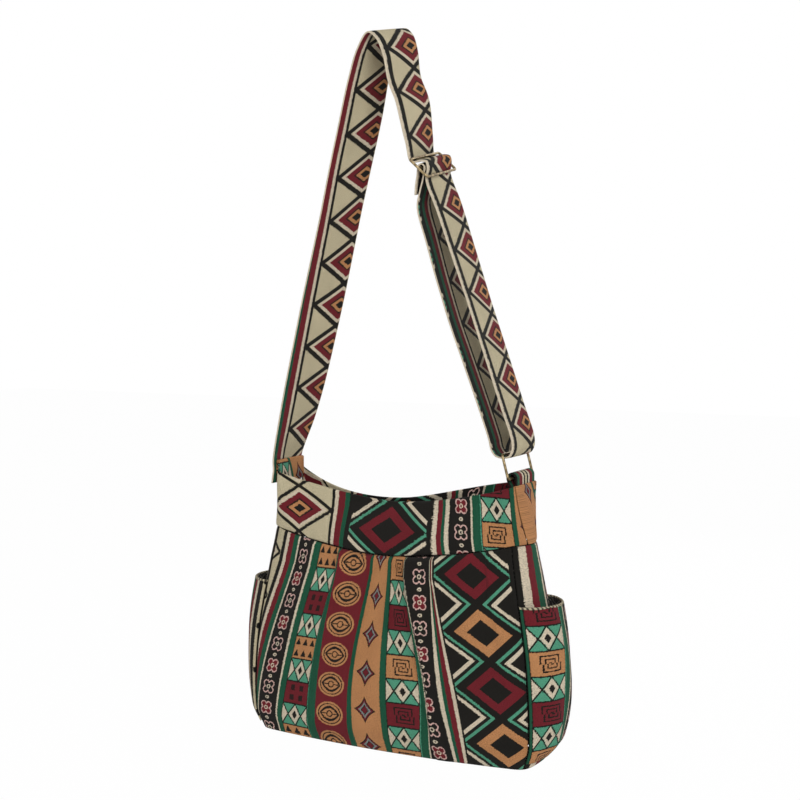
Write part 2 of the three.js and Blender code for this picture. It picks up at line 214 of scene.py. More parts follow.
def rim_level(place):
    face, u = on_face(place)
    skew = np.where(face == 2, -BACK_SKEW * u * (1 - u * u) / SKEW_PEAK, 0)
    return -RIM_DIP * dip(place) + skew


def seam_level(place):
    return YOKE - SEAM_DIP * dip(place)


def wrap(level):
    """How far the yokes reach round the corners at a level."""
    return np.clip(level / YOKE, 0, 1) * (SIDE_RUN - SIDE_YOKE_FOOT) / 2


def smooth(value, low, high):
    t = np.clip((value - low) / (high - low), 0, 1)
    return t * t * (3 - 2 * t)


# %% [markdown]
# ## The order of the cloth's bands
#
# Jacquard cloth repeats across its width. One list holds each band's colour and width in
# millimetres, and every panel is cut from some stretch of it. A UV map in millimetres of cloth then
# carries the weave on to each piece, whatever its shape.

# %% Bands of the cloth
def colour(red, green, blue):
    """A screen colour from 0 to 255 as the linear colour that a shader takes."""
    values = [c / 255 for c in (red, green, blue)]
    linear = [c / 12.92 if c <= 0.04045 else ((c + 0.055) / 1.055) ** 2.4 for c in values]
    return (*linear, 1)


GREEN = colour(28, 84, 60)
TEAL = colour(84, 156, 126)
MAROON = colour(112, 32, 40)
TAN = colour(190, 134, 88)
BLACK = colour(27, 25, 22)
BEIGE = colour(200, 188, 156)
CREAM = colour(214, 200, 176)
SMOKE = colour(128, 136, 132)
PINK = colour(216, 178, 168)

BANDS = [
    ("edge", CREAM, 3.5), ("stripe", MAROON, 5), ("stripe", GREEN, 5.5), ("edge", CREAM, 2.5),
    ("flowers", BLACK, 25), ("edge", CREAM, 2.5), ("stripe", GREEN, 6.5),
    ("marks", TEAL, 38), ("stripe", GREEN, 8), ("ovals", MAROON, 41), ("stripe", GREEN, 7),
    ("stars", TAN, 34), ("stripe", GREEN, 7), ("keys", TEAL, 36), ("stripe", GREEN, 7),
    ("edge", CREAM, 2.5), ("far flowers", BLACK, 25), ("edge", CREAM, 3.5), ("stripe", GREEN, 5.5),
    ("stripe", MAROON, 5), ("edge", CREAM, 3.5), ("gap", BLACK, 3), ("diamonds", BLACK, 90),
    ("gap", BLACK, 5), ("stripe", GREEN, 6.5), ("stripe", MAROON, 6), ("edge", CREAM, 4.5),
    ("gap", BLACK, 4), ("lattice", BEIGE, 76), ("gap", BLACK, 6),
]
starts = [sum(width for _, _, width in BANDS[:i]) for i in range(len(BANDS))]
BAND = {name: (start, width) for (name, _, width), start in zip(BANDS, starts)}
CLOTH_REPEAT = sum(width for _, _, width in BANDS)
print("the cloth repeats every", CLOTH_REPEAT, "mm")

# %% [markdown]
# ## Shader maths as sums
#
# A node tree of sums is hard to read as nodes and easy to read as Python. A small class wraps an
# output socket, so that an expression such as `1 - mask` adds its Math node. Any other node comes
# from one method.


# %% The class for shader sums
def feed(target, inputs):
    """Links or sets the sockets of a node."""
    for key, value in inputs.items():
        if isinstance(value, Wire):
            value.tree.links.new(value.socket, target.inputs[key])
        else:
            target.inputs[key].default_value = value


def operator(operation, turned=False):
    """A method that adds a Math node, with its two values the other way round if turned."""
    def apply(self, *other):
        values = (self, *other)
        return self.math(operation, *(values[::-1] if turned else values))

    return apply


class Wire:
    """An output socket of a material's tree that takes part in sums."""

    def __init__(self, tree, socket=None):
        self.tree, self.socket = tree, socket

    def node(self, kind, settings=None, sockets=None, output=0):
        """Adds a node: its settings first, then the values or links of its sockets."""
        made = self.tree.nodes.new(kind)
        for name, value in (settings or {}).items():
            if name == "stops":
                made.color_ramp.interpolation = "CONSTANT"
                points = made.color_ramp.elements
                while len(points) > 1:
                    points.remove(points[-1])
                points[0].position, points[0].color = value[0]
                for position, shade in value[1:]:
                    points.new(position).color = shade
            else:
                setattr(made, name, value)
        feed(made, sockets or {})
        return Wire(self.tree, made.outputs[output])

    def math(self, operation, *values):
        return self.node("ShaderNodeMath", {"operation": operation}, dict(enumerate(values)))

    __add__ = __radd__ = operator("ADD")
    __mul__ = __rmul__ = operator("MULTIPLY")
    __sub__, __rsub__ = operator("SUBTRACT"), operator("SUBTRACT", turned=True)
    __truediv__, __mod__ = operator("DIVIDE"), operator("FLOORED_MODULO")
    __lt__, __gt__ = operator("LESS_THAN"), operator("GREATER_THAN")
    __abs__ = operator("ABSOLUTE")


def most(a, b):
    return a.math("MAXIMUM", a, b)


def least(a, b):
    return a.math("MINIMUM", a, b)


def round_from(a, b):
    """The distance from the middle of two axes."""
    square = a * a + b * b
    return square.math("SQRT", square)


def paint(ground, over, mask):
    """A colour laid over a ground where the mask is 1."""
    return mask.node("ShaderNodeMix", {"data_type": "RGBA"}, {0: mask, 6: ground, 7: over}, 2)


def layered(ground, mask, reach, layers):
    """Shapes one inside another, each painted where the reach is under its size."""
    for size, shade in layers:
        ground = paint(ground, shade, mask * (reach < size))
    return ground


# %% [markdown]
# ## The motifs
#
# Each band has a motif that repeats along it. A motif is a few distances compared with its sizes, so
# its edge stays crisp at any scale and nothing is painted on a picture. A slight waver in the
# coordinates gives the stepped, hand-set look of woven edges.


# %% Placing a motif
def in_band(across, name):
    """How far a point is from the middle of a band, and the band's mask."""
    start, width = BAND[name]
    x = across - (start + width / 2)
    return x, abs(x) < width / 2


def repeat(along, pitch, phase):
    """The place inside one repeat, from its middle, and the number of the repeat."""
    count = (along - phase) / pitch + 0.5
    number = count.math("FLOOR", count)
    return along - phase - number * pitch, number


# %% The flower band
FLOWER_PITCH = {"flowers": 24.7, "far flowers": 26.1}
LOBE_OFFSET, LOBE_RADIUS, OUTLINE = 3.6, 4.1, 1.3
BEAD_WIDTH, BEAD_HEIGHT = 2.6, 1.9


def draw_flowers(ground, across, along, name, phase):
    x, mask = in_band(across, name)
    pitch = FLOWER_PITCH[name]
    y, number = repeat(along, pitch, phase)
    lobe = round_from(abs(x) - LOBE_OFFSET, abs(y) - LOBE_OFFSET) - LOBE_RADIUS
    body = least(lobe, most(abs(x), abs(y)) - LOBE_OFFSET - 1.9)
    fill = paint(MAROON, BLACK, number % 2)
    shown = layered(ground, mask, body, ((0, PINK), (-OUTLINE, fill)))
    shown = layered(shown, mask, round_from(x, y), ((2.6, CREAM), (1.4, fill)))
    bead = round_from(x / BEAD_WIDTH, (abs(y) - pitch / 2) / BEAD_HEIGHT)
    return layered(shown, mask, bead, ((1, CREAM), (0.4, BLACK)))


# %% The two bands of cells
CELL = 25.5


def draw_cells(ground, across, along, name, phase, spiral):
    x, mask = in_band(across, name)
    half = BAND[name][1] / 2
    y, number = repeat(along, CELL, phase)
    wide, high = abs(x) / half, abs(y) / (CELL / 2)
    block = mask * (number % 2)
    maroon = ((number % 4) > 2.5) * block
    cross = mask * (1 - number % 2)
    gem = wide * 2 + high
    turned = abs(wide * 2 - 1)
    shown = paint(ground, CREAM, cross * (wide > 0.5) * (turned > high))
    shown = layered(shown, cross, gem, ((0.86, CREAM), (0.4, BLACK)))
    shown = paint(shown, BLACK, cross * (abs(turned - high) < 0.1))
    shown = paint(paint(shown, TAN, block), MAROON, maroon)
    if spiral:
        shifted = x - (y < 0) * 2.1
        turn = most(abs(shifted), abs(y) * 1.15)
        mark = ((turn % 4.2) < 1.6) * (turn < 11.5)
        shown = paint(shown, BLACK, block * mark)
    else:
        third = (x + half) % (half * 2 / 3) - half / 3
        row = (y + CELL / 2) % (CELL / 2) - CELL / 4
        peak = (abs(third) < (4.4 - row) * 0.6) * (row > -3.4)
        shown = paint(shown, BLACK, (block - maroon) * peak)
        spot = most(abs(abs(x) - 7), abs(abs(y) - 5.5))
        shown = paint(shown, BLACK, maroon * (spot < 3.2) * 0.9)
    rim = (high > 0.94) + (wide > 0.955)
    return paint(shown, BLACK, mask * least(rim, 1))


# %% The ovals, the small stars and the large diamonds
OVAL_PITCH, STAR_PITCH, DIAMOND_PITCH, LATTICE_PITCH = 33, 40.5, 57, 50
STEEP = 1.38


def draw_ovals(ground, across, along, phase):
    x, mask = in_band(across, "ovals")
    y, _ = repeat(along, OVAL_PITCH, phase)
    egg = round_from(x / 17, y / 13.4)
    shown = layered(ground, mask, egg, ((1, TAN), (0.86, BLACK), (0.78, TAN)))
    lens = abs(y) / 7.2 + (x / 11.5) * (x / 11.5)
    shown = paint(shown, BLACK, mask * (abs(lens - 1) < 0.2))
    shown = paint(shown, BLACK, mask * (abs(y) < 0.6) * (abs(x) < 10))
    return layered(shown, mask, round_from(x, y), ((3.9, BLACK), (2.5, TAN)))


def draw_stars(ground, across, along, phase):
    x, mask = in_band(across, "stars")
    y, _ = repeat(along, STAR_PITCH, phase)
    star = abs(x) / 13.5 + abs(y) / 15
    pinch = star + abs(x) * abs(y) / 140
    layers = ((1, BLACK), (0.8, MAROON), (0.62, SMOKE), (0.4, BLACK), (0.3, MAROON))
    return layered(ground, mask, pinch, layers)


def draw_diamonds(ground, across, along, phase):
    x, mask = in_band(across, "diamonds")
    y, number = repeat(along, DIAMOND_PITCH, phase)
    reach = abs(x) + abs(y) * STEEP
    ring = paint(MAROON, TAN, number % 2)
    shown = paint(ground, ring, mask * (abs(reach - 25.5) < 7.2))
    shown = paint(shown, TEAL, mask * (abs(reach - 48) < 2.4))
    return paint(shown, CREAM, mask * (abs(reach - 59) < 3.2))


def draw_lattice(ground, across, along, phase, net_line):
    x, mask = in_band(across, "lattice")
    y, _ = repeat(along, LATTICE_PITCH, phase)
    net = abs(x) / 38 + abs(y) / 25
    shown = paint(ground, BLACK, mask * (abs(net - 1) < net_line))
    layers = ((0.86, CREAM), (0.71, MAROON), (0.43, BLACK), (0.35, TAN), (0.19, BLACK))
    return layered(shown, mask, net, layers)


# %% [markdown]
# ## The cloth itself
#
# The stripes are a colour ramp across one repeat, and the motifs are laid over it. Threads show in
# two ways: their colour varies from pick to pick, with dark yarn glinting through the pale areas,
# and their ribs catch the light through a bump. A cloth's back has the floats of every colour, so it
# looks dark and speckled.

# %% Threads
RIB_ACROSS = 2 * math.pi / 0.85
RIB_ALONG = 2 * math.pi / 0.7
PHASES = {"flowers": -15.8, "far flowers": -18.7, "marks": -10, "keys": -15, "ovals": -24, "stars": -1,
          "diamonds": 21, "lattice": -39}


def new_material(name):
    """A material with its principled shader, and a first wire to hang nodes on."""
    material = bpy.data.materials.new(name)
    material.use_nodes = True
    return material, Wire(material.node_tree), material.node_tree.nodes["Principled BSDF"]


def cloth_place(start):
    """Across and along the cloth in millimetres, wavering a little as woven edges do."""
    uv = start.node("ShaderNodeUVMap", {"uv_map": "cloth"})
    across = uv.node("ShaderNodeSeparateXYZ", None, {0: uv}, 0)
    along = Wire(uv.tree, across.socket.node.outputs[1])
    rough = uv.node("ShaderNodeTexNoise", None, {"Vector": uv, "Scale": 0.7, "Detail": 1.5})
    waver = (rough - 0.5) * 2.6
    return uv, across, along, (across + waver) % CLOTH_REPEAT, along + waver


def threads(uv, across, along):
    """How light each thread is, how much dark yarn shows, and the height of the ribs."""
    stretch = uv.node("ShaderNodeMapping", None, {"Vector": uv, "Scale": (0.7, 1.7, 1)})
    picks = uv.node("ShaderNodeTexNoise", None, {"Vector": stretch, "Scale": 0.9, "Detail": 2.0})
    specks = uv.node("ShaderNodeTexNoise", None, {"Vector": uv, "Scale": 1.4, "Detail": 1.0})
    cloudy = uv.node("ShaderNodeTexNoise", None, {"Vector": uv, "Scale": 0.035, "Detail": 2.0})
    light = 0.34 + picks * 1.0 + cloudy * 0.32
    ribs, weft = (wave.math("SINE", wave) for wave in (across * RIB_ACROSS, along * RIB_ALONG))
    return light, specks > 0.6, ribs * weft + picks * 1.4


def finish_cloth(shader, shown, light, height):
    """Joins the colour and the ribs to the shader, with cloth's low sheen."""
    tinted = light.node("ShaderNodeVectorMath", {"operation": "SCALE"}, {0: shown, "Scale": light})
    bump = light.node("ShaderNodeBump", None, {"Height": height, "Strength": 0.6, "Distance": 0.0004})
    feed(shader, {"Base Color": tinted, "Normal": bump, "Roughness": 0.88,
                  "Specular IOR Level": 0.12, "Sheen Weight": 0.02})


# %% Jacquard face
STRAP_WIDTH_MM = 60
PIPING_MM = 0.9
NET_LINE, STRAP_NET_LINE = 0.085, 0.125


def jacquard(name, piped=False):
    material, start, shader = new_material(name)
    uv, across, along, wavy, along_wavy = cloth_place(start)
    stops = [(at / CLOTH_REPEAT, shade) for at, (_, shade, _) in zip(starts, BANDS)]
    shown = start.node("ShaderNodeValToRGB", {"stops": stops}, {0: wavy / CLOTH_REPEAT})
    for band in ("flowers", "far flowers"):
        shown = draw_flowers(shown, wavy, along_wavy, band, PHASES[band])
    for band in ("marks", "keys"):
        shown = draw_cells(shown, wavy, along_wavy, band, PHASES[band], band == "keys")
    for band, draw in (("ovals", draw_ovals), ("stars", draw_stars), ("diamonds", draw_diamonds)):
        shown = draw(shown, wavy, along_wavy, PHASES[band])
    net_line = STRAP_NET_LINE if piped else NET_LINE
    shown = draw_lattice(shown, wavy, along_wavy, PHASES["lattice"], net_line)
    light, specks, height = threads(uv, across, along)
    shown = paint(shown, BLACK, specks * 0.5)
    if piped:
        edge = start.node("ShaderNodeUVMap", {"uv_map": "edge"})
        side = edge.node("ShaderNodeSeparateXYZ", None, {0: edge})
        shown = paint(shown, CREAM, abs(side) > STRAP_WIDTH_MM / 2 - PIPING_MM)
    finish_cloth(shader, shown, light, height)
    return material


cloth_face = jacquard("jacquard face")
strap_face = jacquard("strap face", piped=True)
print("face nodes", len(cloth_face.node_tree.nodes))


# %% Jacquard back and bound edges
DASH_PITCH, DASH_LENGTH, DASH_SLANT = 4.4, 2.1, 0.6


def cloth_back():
    """The floats of every colour on the weave's wrong side."""
    material, start, shader = new_material("jacquard back")
    uv, across, along, wavy, _ = cloth_place(start)
    light, _, height = threads(uv, across, along)
    floats = uv.node("ShaderNodeTexNoise", None, {"Vector": uv, "Scale": 0.55, "Detail": 3.0})
    stops = [(0, colour(38, 37, 36)), (0.5, colour(78, 76, 72)), (0.6, colour(150, 146, 136)),
             (0.68, colour(52, 50, 47))]
    shown = start.node("ShaderNodeValToRGB", {"stops": stops}, {0: floats})
    shown = paint(shown, MAROON, (wavy % 61 < 9) * 0.25)
    finish_cloth(shader, shown, light, height)
    return material


def bound_edge():
    """An overlocked edge: drab and pale thread by turns."""
    material, start, shader = new_material("bound edge")
    uv, across, along, _, _ = cloth_place(start)
    light, specks, height = threads(uv, across, along)
    dash = (across + along * DASH_SLANT) % DASH_PITCH < DASH_LENGTH
    shown = paint(paint(colour(92, 86, 76), BEIGE, dash), BLACK, specks * 0.3)
    finish_cloth(shader, shown, light, height)
    return material


back_face = cloth_back()
edge_binding = bound_edge()

# %% [markdown]
# ## A sheet of cloth
#
# Every panel starts as a flat grid, as cloth does, and a function lays the grid on the body. The
# same function's numbers give the UV map. A Solidify modifier gives the cloth its thickness, and its
# inner side takes the back of the weave.


# %% Laying a grid on a shape
def shaped_grid(name, across, up, place, uv_of, materials, edge_of=None, weld=False):
    """A grid whose points are moved by place(i, j), with i and j from 0 to 1, and its UV map."""
    mesh_data = bmesh.new()
    bmesh.ops.create_grid(mesh_data, x_segments=across, y_segments=up, size=1)
    flat = np.array([v.co[:2] for v in mesh_data.verts]) / 2 + 0.5
    points = place(flat[:, 0], flat[:, 1])
    maps = [("cloth", uv_of(flat[:, 0], flat[:, 1]))]
    if edge_of:
        maps.append(("edge", edge_of(flat[:, 0], flat[:, 1])))
    mesh_data.verts.index_update()
    for map_name, (u, v) in maps:
        layer = mesh_data.loops.layers.uv.new(map_name)
        for face in mesh_data.faces:
            for loop in face.loops:
                i = loop.vert.index
                loop[layer].uv = (u[i], v[i])
    for vert, point in zip(mesh_data.verts, points):
        vert.co = point
    if weld:
        bmesh.ops.remove_doubles(mesh_data, verts=mesh_data.verts, dist=1e-6)
        bmesh.ops.recalc_face_normals(mesh_data, faces=mesh_data.faces)
    for face in mesh_data.faces:
        face.smooth = True
    mesh = bpy.data.meshes.new(name)
    mesh_data.to_mesh(mesh)
    mesh_data.free()
    for material in materials:
        mesh.materials.append(material)
    return placed(name, mesh)


def thicken(piece, thickness):
    """Gives a sheet its thickness inwards, with the back of the weave inside."""
    wall = piece.modifiers.new("thickness", "SOLIDIFY")
    wall.thickness = thickness
    wall.offset = -1
    wall.material_offset = len(piece.data.materials) - 1


def belongs(piece, node):
    """Puts a cloth piece on the bag's body, hides the frame part that it stands for and prints its count
    of faces.
    """
    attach(piece, "bag")
    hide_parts(node)
    print(piece.name, len(piece.data.polygons), "faces")


# %% [markdown]
# ## Where the bands lie
#
# On the front the bands fan out from the seam to the base, because spare cloth is tucked under the
# yoke. Each line below is one edge of a band: its place across the cloth in millimetres, and the
# places round the body where it lies at the base, at the belly and at the seam.

# %% Band lines of the gathered front
MM = 0.001
BAND_LINES = [
    (-40, -56, -40, -18), (0, -18, -2, 20), (16.5, 0, 16.5, 40.5), (41.5, 25.5, 41, 61),
    (50.5, 34, 51.5, 74), (88.5, 72.5, 79.5, 101), (96.5, 82, 88.5, 103), (137.5, 123, 128.5, 149),
    (144.5, 132.5, 133.5, 151), (178.5, 167.5, 165.5, 170), (185.5, 175.5, 173.5, 176),
    (221.5, 210.5, 211, 193), (231, 222, 220, 195), (256, 247, 231.5, 226),
    (273.5, 262, 249, 227), (366.5, 350, 335, 318), (388, 372, 357, 340)]
LINE_LEVELS = (BASE, -0.213, -0.098)
TUCKED_MM, TUCKED_MARGIN = 231, 1.8


def gathered_cloth(place, level):
    """The cloth's own millimetres at a place on the gathered front."""
    cloth = [line[0] for line in BAND_LINES]
    lines = [profile(list(zip(LINE_LEVELS, line[1:])))(level) * MM for line in BAND_LINES]
    found = np.full(np.shape(place), float(cloth[0]))
    for i in range(len(cloth) - 1):
        share = (place - lines[i]) / np.maximum(lines[i + 1] - lines[i], 1e-6)
        inside = cloth[i] + np.clip(share, 0, 1) * (cloth[i + 1] - cloth[i])
        if cloth[i] == TUCKED_MM:
            shown = np.maximum(cloth[i + 1] - (lines[i + 1] - place) / MM, cloth[i] + TUCKED_MARGIN)
            inside = np.where(share < 1, shown, inside)
        found = np.where(share > 0, inside, found)
    return found


# %% Folds under the yoke seam
# Each fold: its line at the base, the belly and the seam in millimetres, which side lies on top,
# its height at those three levels, and how far its raised side runs on.
FOLDS = [
    ((229, 215, 193), 1, (1.5, 6.5, 8.5), 30),
    ((128, 131, 150), -1, (0.2, 2.0, 6.5), 22),
    ((80, 84, 102.5), 1, (0.2, 1.2, 5.5), 18),
    ((172, 171, 177), -1, (0.2, 1.2, 5.5), 11),
    ((244, 234, 227), -1, (0.8, 3.0, 4.0), 14),
    ((296, 300, 292), 1, (0.0, 0.8, 3.0), 18),
    ((40, 44, 66), -1, (0.0, 0.8, 2.6), 16),
]
FOLD_LIP = 0.0022


def folds(place, level):
    """How far the folded cloth stands proud."""
    total = np.zeros(np.shape(place))
    for line, side, heights, run in FOLDS:
        middle = profile(list(zip(LINE_LEVELS, line)))(level) * MM
        height = profile(list(zip(LINE_LEVELS, heights)))(level) * MM
        past = (place - middle) * side
        rise = smooth(past, -FOLD_LIP, FOLD_LIP)
        total += height * rise * np.exp(-np.maximum(past, 0) / (run * MM))
    return total


WIDE_SLACK, FINE_SLACK = 0.0011, 0.0006
FLAT_FOOT = 0.03
SEAM_SINK, SEAM_REACH = 0.0012, 0.002


def slack(place, level, seed):
    """Slow hollows and swellings that soft cloth has, fading out above the base."""
    a = np.sin(place * 41 + seed) * np.sin(level * 33 + seed * 2)
    b = np.sin(place * 97 - level * 31 + seed * 3)
    return (a * WIDE_SLACK + b * FINE_SLACK) * smooth(level, BASE, BASE + FLAT_FOOT)


def seam_roll(distance):
    """Cloth dives into a seam over its last few millimetres."""
    return -SEAM_SINK * np.exp(-distance / SEAM_REACH)


# %% [markdown]
# ## The lower front and back
#
# These are the widest pieces. The front's grid has steps of about a millimetre and a half, so that
# its folds are real shapes. The back repeats the front in mirror with shallower folds.

# %% Lower panels
PANEL_PLAY = 0.0005
PANEL_CLOTH = 0.0014
PANEL_FOOT = BASE + WALL + SEAM_GAP / 2
BACK_START = FACE_RUN + SIDE_RUN
BACK_FOLDS = 0.8
EDGE_EASE = 0.02


def below_seam(start, run, i, j):
    """Place, level, the seam's level there and the distance from the side seams, below the yokes."""
    place = start + SEAM_GAP / 2 + (run - SEAM_GAP) * i
    top = seam_level(place) - SEAM_GAP / 2
    edge = np.minimum(place - start, start + run - place)
    return place, PANEL_FOOT + (top - PANEL_FOOT) * j, top, edge


def lower_panel(name, start, across, up, cloth_of, seed, fold_of):
    def lay(i, j):
        place, level, top, edge = below_seam(start, FACE_RUN, i, j)
        easy = smooth(edge, 0, EDGE_EASE)
        proud = slack(place, level, seed) * easy + seam_roll(edge) + seam_roll(top - level)
        proud = proud + fold_of(place - start, level) * easy * smooth(top - level, -0.002, 0.004)
        return body_point(place, level, proud + PANEL_PLAY)

    def cloth(i, j):
        place, level, _, _ = below_seam(start, FACE_RUN, i, j)
        return cloth_of(place - start, level), level / MM

    piece = shaped_grid(name, across, up, lay, cloth, [cloth_face, back_face])
    thicken(piece, PANEL_CLOTH)
    belongs(piece, name.replace("_cloth", ""))


lower_panel("front_panel_cloth", 0, 250, 150, gathered_cloth, 1.3, folds)
lower_panel("back_panel_cloth", BACK_START, 150, 90,
            lambda place, level: gathered_cloth(FACE_RUN - place, level), 4.1,
            lambda place, level: folds(FACE_RUN - place, level) * BACK_FOLDS)

# %% [markdown]
# ## The yokes
#
# A yoke is smooth, because its cloth isn't gathered. At the mouth it turns over the rim and runs
# down inside as a facing, which is why the far side of the mouth shows pattern. One grid makes both:
# its last rows go over the rim and down again.

# %% Yokes
FACING = 0.024
RIM_RADIUS = 0.0014
OUTER_SHARE = 0.74
ROLL_SHARE = 0.80
YOKE_CLOTH = 0.0009
YOKE_EASE = 0.8
# How much closer together the grid's columns stand towards the corners.
CORNER_SHARE = 0.35
YOKE_BANDS = [
    (-30, 484.4), (-11, 468.5), (80, 392.5), (84, 388.5), (90, 384), (97, 378), (104, 371.5),
    (109.5, 366.5), (213, 276.5), (223.5, 273.5), (227.3, 270), (232.8, 265), (239, 259.5),
    (245.5, 256), (272.5, 231), (285.5, 221.5), (326, 185.5), (334, 178.5), (368, 144.5)]
YOKE_LEAN = [(84, 0.09), (168, 0.07), (223, 0.19), (255, 0.25), (305, 0.22)]
LEAN_LEVEL = -50


def yoke_cloth(place, level):
    """The cloth's own millimetres on a yoke, whose bands lean a little outwards on the way down."""
    places, cloth = np.array(YOKE_BANDS).T
    lean_places, leans = np.array(YOKE_LEAN).T
    lean = np.interp(place / MM, lean_places, leans)
    return np.interp(place / MM + lean * (level / MM - LEAN_LEVEL), places, cloth)


def over_rim(j, bottom, top):
    """Level and depth along a strip that goes up outside, over a rim and down inside."""
    up = np.clip(j / OUTER_SHARE, 0, 1)
    roll = np.clip((j - OUTER_SHARE) / (ROLL_SHARE - OUTER_SHARE), 0, 1) * math.pi
    down = np.clip((j - ROLL_SHARE) / (1 - ROLL_SHARE), 0, 1)
    level = bottom + (top - RIM_RADIUS - bottom) * up + RIM_RADIUS * np.sin(roll) - FACING * down
    inward = RIM_RADIUS * (1 - np.cos(roll)) + down * 0.0003
    run = (top - bottom) * up + RIM_RADIUS * roll + FACING * down
    return level, -inward, run


# How far each band's motifs are shifted along the yoke: (the place where the shift starts, shift).
YOKE_SHIFTS = [(0, 0), (182, -41), (227, 5.3), (264, -39), (384, 0)]


def yoke_shift(across_mm):
    """The yoke is a cut of its own, so its motifs don't line up with those of the lower front."""
    place = np.mod(across_mm, CLOTH_REPEAT)
    found = np.zeros(np.shape(place))
    for begin, shift in YOKE_SHIFTS:
        found = np.where(place > begin, shift, found)
    return found


def yoke(name, node, start, mirror, seed):
    def where(i, j):
        eased = (1 - np.cos(math.pi * i)) / 2
        guess = YOKE + (0 - YOKE) * np.clip(j / OUTER_SHARE, 0, 1)
        first = start - wrap(guess) + SEAM_GAP / 2
        last = start + FACE_RUN + wrap(guess) - SEAM_GAP / 2
        place = first + (last - first) * (CORNER_SHARE * eased + (1 - CORNER_SHARE) * i)
        bottom = seam_level(place) + SEAM_GAP / 2
        level, inward, run = over_rim(j, bottom, rim_level(place))
        return place, level, inward, run, bottom, np.minimum(place - first, last - place)

    def lay(i, j):
        place, level, inward, _, bottom, edge = where(i, j)
        outer = (j <= OUTER_SHARE) * 1.0
        soft = slack(place, level, seed) * YOKE_EASE * smooth(edge, 0, EDGE_EASE) * outer
        proud = inward + soft + outer * seam_roll(level - bottom) + seam_roll(edge) * YOKE_EASE
        return body_point(place, level, proud + PANEL_PLAY)

    def cloth(i, j):
        place, level, _, run, bottom, _ = where(i, j)
        across = yoke_cloth(mirror * (place - start) + (mirror < 0) * FACE_RUN, bottom + run)
        return across, (bottom + run) / MM + yoke_shift(across)

    piece = shaped_grid(name, 190, 74, lay, cloth, [cloth_face, back_face])
    thicken(piece, YOKE_CLOTH)
    belongs(piece, node)


yoke("front_yoke_cloth", "front_yoke", 0, 1, 2.2)
yoke("back_yoke_cloth", "back_yoke", BACK_START, -1, 5.2)

# %% [markdown]
# ## The sides
#
# A narrow tan piece closes each side of the mouth, and a gusset runs from it to the base. The bands
# stand upright on the gusset, and on the tan piece its column of stars leans.

# %% Side yokes and gussets
# The column of small stars on a side piece: its place and level at the top star, how far it slants,
# how far the plain tan reaches before it, and the spacing of its stars.
STAR_MM = 161.5
STAR_COLUMN, STAR_LEVEL = 40.5, -7
STAR_SLANT = 27.5 / 43
STAR_MARGIN = 16.4
STAR_SPACING = 40.5 / 43
SIDE_PLAY = PANEL_PLAY * 0.4


def side_yoke(name, node, start, rise):
    def where(i, j):
        guess = YOKE + (rise - YOKE) * np.clip(j / OUTER_SHARE, 0, 1)
        first = start + wrap(guess) + SIDE_SEAM_GAP
        last = start + SIDE_RUN - wrap(guess) - SIDE_SEAM_GAP
        place = first + (last - first) * i
        level, inward, run = over_rim(j, YOKE + SEAM_GAP / 2, rise + 0 * place)
        return place, level, inward, run, np.minimum(place - first, last - place)

    def lay(i, j):
        place, level, inward, _, edge = where(i, j)
        return body_point(place, level, inward + seam_roll(edge) * YOKE_EASE + SIDE_PLAY)

    def cloth(i, j):
        place, _, _, run, _ = where(i, j)
        up = run / MM + YOKE / MM - STAR_LEVEL
        beside = (place - start) / MM - (STAR_COLUMN - up * STAR_SLANT)
        return STAR_MM + np.maximum(beside, -STAR_MARGIN), up * STAR_SPACING + PHASES["stars"]

    piece = shaped_grid(name, 60, 64, lay, cloth, [cloth_face])
    thicken(piece, YOKE_CLOTH)
    belongs(piece, node)


# Pairs of the distance from the front corner and the place in the cloth.
GUSSET_BANDS = [(0, -4), (8, 0), (20, 3.5), (31, 8.5), (46, 14), (54, 16.5), (79, 41.5), (90, 52.5)]


def gusset(name, node, start, turn):
    def lay(i, j):
        place, level, top, edge = below_seam(start, SIDE_RUN, i, j)
        return body_point(place, level, seam_roll(edge) + seam_roll(top - level) + SIDE_PLAY)

    def cloth(i, j):
        place, level, _, _ = below_seam(start, SIDE_RUN, i, j)
        from_front = (place - start) if turn > 0 else start + SIDE_RUN - place
        return np.interp(from_front / MM, *np.array(GUSSET_BANDS).T), level / MM

    piece = shaped_grid(name, 50, 100, lay, cloth, [cloth_face, back_face])
    thicken(piece, PANEL_CLOTH)
    belongs(piece, node)


RIGHT_START = FACE_RUN
LEFT_START = 2 * FACE_RUN + SIDE_RUN
side_yoke("right_side_yoke_cloth", "right_side_yoke", RIGHT_START, 0)
side_yoke("left_side_yoke_cloth", "left_side_yoke", LEFT_START, LEFT_YOKE_RISE)
gusset("right_gusset_cloth", "right_gusset", RIGHT_START, 1)
gusset("left_gusset_cloth", "left_gusset", LEFT_START, -1)

# %% [markdown]
# ## The pockets
#
# A pocket is a flat piece sewn to its gusset along three edges, so it gapes at the top. Its mouth is
# overlocked in drab and pale thread, and its inside is the back of the weave.

# %% Pockets and their bound mouths
POCKET_DEPTH = 0.160
POCKET_GAPE = 0.017
POCKET_PLAY = 0.0005
POCKET_FOOT = BASE + WALL + 0.007
GAPE_POWER = 2.5
POCKET_CLOTH = 0.0016
POCKET_SHIFT = -15
POCKET_STRETCH = 1.06
BINDING_RADIUS = 0.0013


def pocket_stand(i, j):
    belly = 1 - (2 * i - 1) ** 2
    return POCKET_PLAY + POCKET_GAPE * belly * (1 - (1 - j) ** GAPE_POWER)


